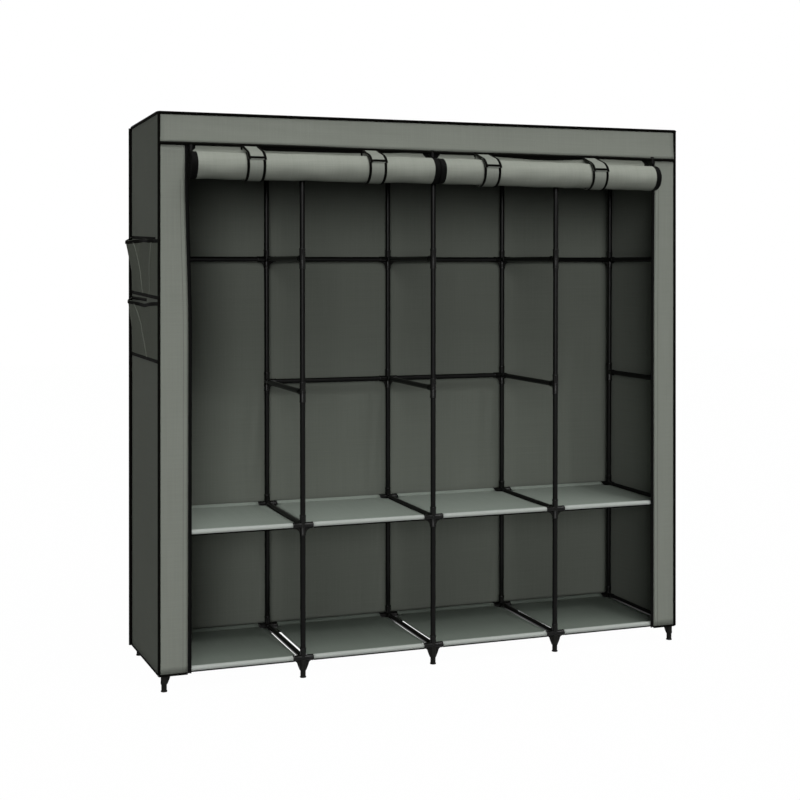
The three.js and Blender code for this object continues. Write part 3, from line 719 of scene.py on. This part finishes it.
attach(header_hem, "wardrobe")

for node, (cloth, size) in cover_pieces.items():
    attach(cloth, "wardrobe")
    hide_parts(node)


# Zips: black coil zips on woven nylon tape, which is finer and a little smoother than the binding,
# one down the inner edge of each front strip. The doors' halves of the zips are wound up with them.
zip_black = spotted("black_nylon_zip", ("#050505", "#0C0C0B"), {"Scale": 700.0, "Detail": 2.0},
                    (0.6, 0.6), 0.03, strength=0.3)
along_lines = bpy.data.node_groups.new("pieces_along_lines", "GeometryNodeTree")
ends = group_sockets(along_lines, {"Spacing": "Float", "Piece": "Object", "Material": "Material"})
outward = add_node(along_lines, "GeometryNodeInputNamedAttribute", {"Name": "outward"},
                   data_type="FLOAT_VECTOR")
line = add_node(along_lines, "GeometryNodeMeshToCurve", {"Mesh": ends["Geometry"]})
line = add_node(along_lines, "GeometryNodeResampleCurve",
                {"Curve": line.outputs[0], "Length": ends["Spacing"]}, mode="LENGTH")
run = add_node(along_lines, "GeometryNodeInputTangent")
turn = add_node(along_lines, "FunctionNodeAxesToRotation",
                {"Primary Axis": run.outputs[0], "Secondary Axis": outward.outputs["Attribute"]},
                primary_axis="X", secondary_axis="Z")
end_with_copies(along_lines, ends, line.outputs[0], turn.outputs[0])


def row_piece(name, prototype, lines, spacing, material):
    """One mesh of copies of a prototype set along lines: its X runs along them, its Z faces out."""
    sizes = {"Spacing": spacing, "Material": material}
    return grow_copies(name, prototype, along_lines, lines_mesh(name, lines), sizes)


def block(length, width, height, rounding):
    """A small block with softened edges, along X, Y and Z."""
    made = bmesh.new()
    bmesh.ops.create_cube(made, size=1)
    bmesh.ops.scale(made, vec=(length, width, height), verts=made.verts)
    bmesh.ops.bevel(made, geom=made.edges[:], offset=rounding, segments=1, affect="EDGES")
    return made


def points_of(place, across, along):
    """The points of a place at these shares, one after the other."""
    return np.stack(np.broadcast_arrays(*place(across, along)), axis=1)


def inner_edge(side, heights, reach, forward):
    """A line beside a strip's inner edge: this far towards its outer edge, and this far in front."""
    edge = points_of(strip_place(side), np.full(len(heights), 1.0 if side < 0 else 0.0), heights)
    return edge + [side * reach, -forward, 0]


tape_width = 0.011
tooth_spacing = 0.0032
for side, node in ((-1, "zipper_tape_left"), (1, "zipper_tape_right")):
    heights = np.linspace(0, 1, 90)
    middle = inner_edge(side, heights, -tape_width / 2, -0.0004)
    tape = band_piece(node + "_band", [(middle, forwards)], tape_width, 0.0018, zip_black, 8)
    coil = row_piece(node + "_coil", block(0.0017, 0.0034, 0.0024, 0.0005),
                     [(inner_edge(side, heights, 0.0014 - tape_width, 0.0004), forwards)],
                     tooth_spacing, zip_black)
    tape = joined(node + "_tape", [tape, coil])
    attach(tape, "wardrobe")
    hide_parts(node)


# Shelves: the same cloth as the cover, cut with a tunnel at the front and the rear for the
# tubes. Each one sags a little between them, and a black tape binds the front tunnel's lower edge.
# The upper shelves' cloth is drawn a little paler than the cover's, as painted light, and the lower
# shelves' a shade darker, as painted shade. Round the front tube, where it is stretched tight, the
# cloth is smoother, and paler as a painted highlight.
shelf_cloths = {"upper": woven_cloth("woven_grey_shelf_cloth", "#889088", "#717A71"),
                "lower": woven_cloth("woven_grey_shelf_cloth_darker", "#717971", "#5E665E")}
painted_highlight_tunnel_cloth = woven_cloth("woven_grey_cloth_tight_round_a_tube", "#A6ABA6", "#8E938E", roughness=0.6)
sleeve_outer = 0.0085
shelf_half_width = 0.1935
shelf_shift = 0.0035
tunnel_half_width = 0.178
shelf_sag = 0.0020
shelf_thickness = 0.0008
seam_reach = 0.0150
wrap = 180 - math.degrees(math.acos(sleeve_outer / seam_reach))
tunnel_turns = np.linspace(-wrap, wrap, 26)
front_seam, rear_seam = front_row + seam_reach, rear_row - seam_reach
path = [(front_seam, -0.0006)]
path += [(front_row - sleeve_outer * math.cos(math.radians(t)), sleeve_outer * math.sin(math.radians(t)))
         for t in tunnel_turns]
path += [(front_seam + s * (rear_seam - front_seam), 0.0007 - shelf_sag * 4 * s * (1 - s))
         for s in np.linspace(0, 1, 30)]
path += [(rear_row + sleeve_outer * math.cos(math.radians(t)), sleeve_outer * math.sin(math.radians(t)))
         for t in tunnel_turns[::-1]]
path += [(rear_seam, -0.0006)]
path = np.array(path)


def way_along(path):
    """How far each point of a path lies along it."""
    return np.r_[0, np.cumsum(np.linalg.norm(np.diff(path, axis=0), axis=1))]


steps = way_along(path)
shelf_length = steps[-1]
tunnel_share = (steps[len(tunnel_turns) + 1] - 0.002) / shelf_length


def shelf_place(middle_x, level_z, seed):
    """A shelf's cloth round both tubes, with its ends cut back at the connectors."""
    def place(across, along):
        at = along * shelf_length
        y, height = np.interp(at, steps, path[:, 0]), np.interp(at, steps, path[:, 1])
        near = np.minimum(y - front_row, rear_row - y)
        widened = np.clip((near - 0.030) / 0.008, 0, 1)
        half = tunnel_half_width + (shelf_half_width - tunnel_half_width) * widened
        dip = np.clip(near / 0.05, 0, 1) * waves(across, along, seed, 0.0008)
        return middle_x + shelf_shift * widened + (2 * across - 1) * half, y, level_z + height + dip

    return place


trim_angle = math.radians(-44)
trim_radius = sleeve_outer + shelf_thickness
bay_middles = [(start + end) / 2 for start, end in zip(columns, columns[1:])]
for level, name in ((0, "lower"), (1, "upper")):
    for bay, middle_x in enumerate(bay_middles):
        node = f"{name}_shelf_{bay + 1}"
        place = shelf_place(middle_x, levels[level], 50 + 4 * level + bay)
        cloth = cloth_grid(node + "_cloth", place, 24, 150, (2 * shelf_half_width, shelf_length),
                           [shelf_cloths[name], painted_highlight_tunnel_cloth], lambda across, along: along < tunnel_share)
        cloth = with_thickness(cloth, shelf_thickness)
        trim_y = front_row - trim_radius * math.cos(trim_angle)
        trim_z = levels[level] + trim_radius * math.sin(trim_angle)
        trim_line = [(middle_x + s * tunnel_half_width, trim_y, trim_z) for s in (-1, 1)]
        facing = (0, -math.cos(trim_angle), math.sin(trim_angle))
        trim = band_piece(node + "_binding", [(trim_line, facing)], 0.0056, 0.0024, black_tape)
        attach(cloth, "wardrobe")
        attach(trim, "wardrobe")
        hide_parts(node)


# Doors: each is one sheet of the cover's cloth with zip tape down both edges, rolled up round
# itself from the hem to just under the header. Between the header and the roll it hangs free.
roll_radius = 0.042
roll_core = 0.007
roll_droops = {"left": 0.0, "right": 0.0070}
free_length = 0.067
wound_length = header_bottom - front_hem - free_length
layer_pitch = math.pi * (roll_radius ** 2 - roll_core ** 2) / wound_length
roll_turns = (roll_radius - roll_core) / layer_pitch
rows_per_turn = 26
tape_band = 0.018
curtain_top = header_bottom + 0.004
# The doors' cloth is drawn paler than the cover's, as painted light. Where it hangs free, its weave is
# drawn from its place in the room, so that it keeps its size while a lowered door draws the cloth out.
roll_cloth = woven_cloth("woven_grey_door_cloth", "#90948B", "#7A7E75")
curtain_cloth = woven_cloth("woven_grey_door_cloth_let_down", "#90948B", "#7A7E75", along_map=False)
strap_middles = {k: middle_of(f"strap_{k}").x for k in (1, 2, 3, 4)}
# Where the columns of a roll's cloth start near its end, so that its raised coil is drawn well.
end_cuts = [0, 0.0010, 0.0022, 0.0034, 0.0046, 0.0060, 0.0090, 0.0120, 0.0150, 0.0180, 0.0195]


def roll_place(start_x, length, axis_y, axis_z, straps, seed):
    """The wound door: it leaves the header's side at the rear and turns down and forwards, and it
    is nipped in a little under its straps."""
    starts = np.random.default_rng(seed).uniform(0, 2 * math.pi, 6)

    def place(across, along):
        turns = along * roll_turns
        radius = roll_radius - layer_pitch * turns
        x = start_x + across * length
        outer = np.clip(1 - turns / 3, 0, 1)
        from_end = np.minimum(x - start_x, start_x + length - x)
        coil = 0.0011 * np.exp(-((from_end - 0.0034) / 0.0013) ** 2) - 0.0006 * (from_end < 0.0185)
        nip = sum(0.0016 * np.exp(-((x - s) / 0.028) ** 2) for s in straps)
        around = 2 * math.pi * turns
        uneven = sum(size * np.cos(lobes * around + slant * across + start) for size, lobes, slant, start
                     in zip((0.0014, 0.0010, 0.0007), (2, 1, 3), (9, 23, -41), starts))
        radius = radius - outer * (nip + np.abs(uneven)) + coil * (turns < 1.2)
        return x, axis_y + radius * np.cos(around), axis_z - radius * np.sin(around)

    return place


for side, straps in (("left", (1, 2)), ("right", (3, 4))):
    body = f"{side}_door"
    low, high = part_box(f"door_roll_{side}")
    axis_y, axis_z = low.y + roll_radius, low.z + roll_radius
    width = high.x - low.x
    level_place = roll_place(low.x, width, axis_y, axis_z, [strap_middles[k] for k in straps], 70 + straps[0])

    def drooping_place(across, along, level_place=level_place, low=low, width=width, droop=roll_droops[side]):
        x, y, z = level_place(across, along)
        return x, y, z - droop * (x - low.x) / width

    def on_tape(across, along, share=tape_band / width):
        return (across < share) | (across > 1 - share)

    cuts = [c / width for c in end_cuts]
    cuts += list(np.linspace(cuts[-1], 1 - cuts[-1], 56)[1:-1]) + [1 - c for c in cuts[::-1]]
    wound = cloth_grid(f"door_roll_{side}_cloth", drooping_place, cuts, int(roll_turns * rows_per_turn),
                       (width, wound_length), [roll_cloth, zip_black], on_tape)
    wound = with_thickness(wound, cloth_thickness)
    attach(wound, body)
    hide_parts(f"door_roll_{side}")

    neck_y = axis_y + roll_radius

    def curtain_place(across, along, low=low, width=width, neck_y=neck_y, axis_z=axis_z, straps=straps):
        inset = 0.009 - 0.010 * np.clip((0.74 - along) / 0.14, 0, 1)
        x = low.x + inset + across * (width - 2 * inset)
        z = axis_z + along * (curtain_top - axis_z)
        rise = np.clip(4 * along * (1 - along), 0, 1)
        fold = 0.0022 * (0.5 + 0.5 * np.sin(19 * across + 5 * along + straps[0])) * rise
        for strap in straps:
            off = (x - strap_middles[strap]) / 0.060
            fold = fold + 0.0024 * rise * np.exp(-off ** 2) * np.cos(9 * off + 6 * along)
        back = 0.0048 * np.clip((along - 0.15) / 0.85, 0, 1)
        return x, neck_y - 0.0012 - np.abs(fold) + back, z

    hanging = cloth_grid(f"door_curtain_{side}_cloth", curtain_place, cuts, 24, (width, curtain_top - axis_z),
                         [curtain_cloth, zip_black], on_tape)
    hanging = with_thickness(hanging, 0.0010)
    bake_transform(hanging)


# Straps: two to a door, of the cover's cloth edged with black tape. Each long one loops from the
# header under the roll and up in front, and a short flap from the header's hem closes over it.
strap_width = 0.056
strap_edge = 0.0085
strap_radius = roll_radius + 0.0016
flap_radius = strap_radius + 0.0022
# The straps are cut from the cover's cloth, a shade paler.
strap_cloth = woven_cloth("woven_grey_strap_cloth", "#868A82", "#72766E")


def edge_lines(place, count, end_too, lift):
    """The side edges of a strap, and its free end where asked, as lines that face its outer side and
    are lifted off it."""
    steps, ends = np.linspace(0, 1, count), np.linspace(0, 1, 9)
    runs = [(np.full(count, 0.075), steps), (np.full(count, 0.925), steps)]
    if end_too:
        runs.append((0.02 + 0.96 * ends, np.full(9, 0.07)))
    lines = []
    for across, along in runs:
        after, before = (points_of(place, across, np.clip(along + s, 0, 1)) for s in (0.01, -0.01))
        facing = np.cross((1, 0, 0), after - before)
        facing = facing / np.linalg.norm(facing, axis=1)[:, None]
        lines.append((points_of(place, across, along) + facing * lift, facing))
    return lines


def strap_place(x, path, narrowing=0.0, shift=0.0):
    """A strap's cloth along a path of (y, z) points, narrower by a share and moved at its start."""
    steps = way_along(path)

    def place(across, along):
        at = along * steps[-1]
        half = strap_width * (0.5 - narrowing * along)
        return (x + shift * (1 - along) + (2 * across - 1) * half, np.interp(at, steps, path[:, 0]),
                np.interp(at, steps, path[:, 1]))

    return place


for number, side, flap_start in ((1, "left", 202), (2, "left", 202), (3, "right", 196), (4, "right", 196)):
    roll_low, roll_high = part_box(f"door_roll_{side}")
    x = strap_middles[number]
    drooped = roll_droops[side] * (x - roll_low.x) / (roll_high.x - roll_low.x)
    axis_y, axis_z = roll_low.y + roll_radius, roll_low.z + roll_radius - drooped

    loop = [(axis_y + strap_radius * math.cos(t), axis_z - strap_radius * math.sin(t))
            for t in np.radians(np.linspace(240, 0, 46))]
    loop = np.array(loop + [(axis_y + strap_radius, header_bottom - 0.0003)])
    loop_place = strap_place(x, loop)
    loop_length = way_along(loop)[-1]
    long_strap = cloth_grid(f"strap_{number}_cloth", loop_place, 12, 60, (strap_width, loop_length),
                            [strap_cloth])
    long_strap = with_thickness(long_strap, -0.0013)
    edging = band_piece(f"strap_{number}_edging", edge_lines(loop_place, 60, False, 0.0003),
                        strap_edge, 0.0032, black_tape)
    for soft in (long_strap, edging):
        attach(soft, "wardrobe")
        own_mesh(soft)
    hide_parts(f"strap_{number}")

    hem_here = header_bottom - header_fall * ((x - left_x) / (right_x - left_x) - header_fall_start)
    curve = np.array([(axis_y + flap_radius * math.cos(t), axis_z - flap_radius * math.sin(t))
                      for t in np.radians(np.linspace(flap_start, 246, 16))])
    hinge = (front_y - 0.0040, hem_here - 0.0042)
    curve = np.concatenate([curve, np.linspace(curve[-1], hinge, 9)[1:]])
    flap_place = strap_place(x, curve, 0.04, 0.003)
    flap_length = way_along(curve)[-1]
    flap = cloth_grid(f"strap_flap_{number}_cloth", flap_place, 12, 36, (strap_width, flap_length),
                      [strap_cloth])
    flap = with_thickness(flap, 0.0014)
    flap_edging = band_piece(f"strap_flap_{number}_edging", edge_lines(flap_place, 36, True, -0.0002),
                             strap_edge, 0.0034, black_tape)
    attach(flap, f"flap_{number}")
    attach(flap_edging, f"flap_{number}")
    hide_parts(f"strap_flap_{number}")


# Sliders: die-cast in zinc and painted black, which leaves a soft shine and small worn spots. Each
# has a wedge-shaped body on the zip, a bridge over it and a flat pull tab, under the header's hem.
slider_paint = spotted("black_painted_zinc", ("#070707", "#121211"), {"Scale": 160.0, "Detail": 4.0},
                       (0.3, 0.5), 0.10, strength=0.15)
# Each part's outline, thickness and rounding, and how far it stands behind the slider's front.
slider_parts = {
    "body": ([(-0.0040, -0.0110), (0.0040, -0.0110), (0.0060, -0.0020), (0.0056, 0), (-0.0056, 0),
              (-0.0060, -0.0020)], 0.0046, 0.0007, 0.0026),
    "tab": ([(-0.0035, -0.0220), (0.0035, -0.0220), (0.0035, -0.0075), (0.0020, -0.0055),
             (-0.0020, -0.0055), (-0.0035, -0.0075)], 0.0016, 0.0004, 0.0060),
    "bridge": ([(-0.0015, -0.0095), (0.0015, -0.0095), (0.0015, -0.0020), (-0.0015, -0.0020)],
               0.0040, 0.0008, 0.0046),
}
for side in ("left", "centre", "right"):
    node = f"zip_slider_{side}"
    low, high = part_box(node)
    slider = joined(node + "_metal", [
        copies_piece(f"{node}_{part}", slab(outline, thickness, rounding),
                     [(Vector(((low.x + high.x) / 2, high.y - behind, high.z)), upright)], slider_paint)
        for part, (outline, thickness, rounding, behind) in slider_parts.items()])
    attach(slider, f"{side}_slider")
    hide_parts(node)


# Side pockets: two open pockets of the same cloth, sewn to the left outer side at the front, the
# rear and the bottom. Their bound mouths gape, and folds run down from them to the bottom seam.
# The pockets' cloth is drawn a shade darker than the side it is sewn to, as painted shade.
pocket_cloth = woven_cloth("woven_grey_pocket_cloth", "#676B62", "#565A51")
pocket_height = 0.171
fold_shares = [0, 0.10, 0.22, 0.50, 0.62, 0.85, 1]
# How far each fold stands out at the mouth, and how far the foot's rear end, the mouth's rear end,
# the mouth's middle and the whole mouth are lifted.
folds = {"upper": ([0, 0.0026, 0.0135, 0.0020, 0.0020, 0.0310, 0], 0.010, 0.014, 0.0050, 0.0),
         "lower": ([0, 0.0015, 0.0080, 0.0018, 0.0018, 0.0240, 0], 0.0, 0.004, -0.0105, 0.0048)}
# A black band on the side behind each mouth is painted shade inside the pocket's opening. It and
# the pressed creases are given by their ends' shares of the depth.
mouth_shadow_band_ends = {"upper": ((0.10, 0.002), (1.0, 0.014)), "lower": ((0.42, 0.0060), (1.0, 0.0075))}
crease_ends = {"upper": ((0.72, 0.56), (0.145, 0.31)), "lower": ((0.73, 0.41),)}


def side_x(y, z):
    """Where the cover's left side lies, at this depth and height."""
    front_x, rear_x = edge_point("front", -1, z)[0], edge_point("rear", -1, z)[0]
    share = (np.asarray(y) - front_y) / (rear_y - front_y)
    return clear_of_posts(front_x + share * (rear_x - front_x), y)


for name in ("upper", "lower"):
    node = f"pocket_{name}"
    low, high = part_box(node)
    front_edge, bottom, depth = low.y, low.z, high.y - low.y

    def pocket_place(share, along, front_edge=front_edge, depth=depth, bottom=bottom, fold=folds[name]):
        fold_heights, foot_lift, rear_lift, mouth_lift, raised = fold
        rear_ridge = 0.62 + 0.23 * along
        bulge = np.interp(share, fold_shares, fold_heights) * along ** 1.1
        creases = 0.0008 * np.sin(30 * share + 6 * along) * np.clip(5 * share * (1 - share), 0, 1) * along
        y = front_edge + share * depth
        lift = foot_lift * share * (1 - along) + mouth_lift * along * np.exp(-((share - 0.50) / 0.30) ** 2)
        lift = lift + raised * along
        lift = lift + along * rear_lift * np.clip((share - rear_ridge) / (1 - rear_ridge), 0, 1)
        z = bottom + along * pocket_height + lift
        return side_x(y, z) - 0.0012 - bulge - np.abs(creases), y, z

    cloth = cloth_grid(node + "_cloth", lambda across, along: pocket_place(1 - across, along), 64, 24,
                       (depth, pocket_height), [pocket_cloth, cover_lining])
    cloth = with_thickness(cloth, 0.0011, 1)
    shares, heights = np.linspace(0, 1, 60), np.linspace(0, 1, 12)
    mouth = points_of(pocket_place, shares, np.full(60, 0.968))
    seams = [points_of(pocket_place, shares, np.full(60, 0.01)),
             points_of(pocket_place, np.full(12, 0.0), heights),
             points_of(pocket_place, np.full(12, 1.0), heights)]
    # The black band behind the mouth is painted shade: it lies on the side, inside the pocket's opening.
    (near_share, near_lift), (far_share, far_lift) = mouth_shadow_band_ends[name]
    mouth_shadow_y = front_edge + depth * np.linspace(near_share, far_share, 24)
    mouth_shadow_z = bottom + pocket_height + np.linspace(near_lift, far_lift, 24)
    behind = np.stack([side_x(mouth_shadow_y, mouth_shadow_z) - 0.0006, mouth_shadow_y, mouth_shadow_z], axis=1)
    creases = [points_of(pocket_place, np.linspace(at_mouth, at_foot, 24), np.linspace(0.95, 0.04, 24))
               - [0.0006, 0, 0] for at_mouth, at_foot in crease_ends[name]]
    trim = joined(node + "_binding", [
        band_piece(part, [(line, (-1, 0, 0)) for line in lines], width, thickness, material)
        for part, lines, width, thickness, material in (
            ("behind", [behind], 0.0095, 0.0022, black_tape),
            ("creases", creases, 0.0042, 0.0030, side_cloth),
            ("mouth", [mouth], 0.0110, 0.0028, black_tape),
            ("foot", seams, 0.0108, 0.0026, black_tape))])
    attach(cloth, "wardrobe")
    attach(trim, "wardrobe")
    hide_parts(node)


# Stitching: rows of dull polyester thread along the header's hem, beside the zips' tapes and along
# the shelves' tunnels. The stitches are 4 mm long, 6 mm apart.
stitch_spacing = 0.006
thread = spotted("dark_polyester_thread", ("#2E302C", "#45473F"), {"Scale": 900.0, "Detail": 2.0},
                 (0.7, 0.7), 0.1)
flap_boxes = [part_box(f"strap_flap_{number}") for number in (1, 2, 3, 4)]
run_starts = [hem_x[3]] + [high.x + 0.004 for _, high in flap_boxes]
run_ends = [low.x - 0.004 for low, _ in flap_boxes] + [hem_x[-4]]
seams = [([(x, front_y - 0.0072, z + 0.0024) for x, z in zip(hem_x, hem_z) if start < x < end], forwards)
         for start, end in zip(run_starts, run_ends)]
for side in (-1, 1):
    for reach, forward in ((0.0022, 0.0006), (0.0142, 0.0004)):
        seams.append((inner_edge(side, np.linspace(0.004, 0.93, 90), reach, forward), forwards))
for level in (0, 1):
    for middle_x in bay_middles:
        for y in (front_seam + 0.0015, rear_seam - 0.0015):
            ends = [middle_x + s * (tunnel_half_width - 0.002) for s in (-1, 1)]
            seams.append(([(x, y, levels[level] + 0.0006) for x in ends], upwards))
stitching = row_piece("stitching", block(0.0042, 0.0008, 0.0007, 0.00015), seams, stitch_spacing, thread)
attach(stitching, "wardrobe")
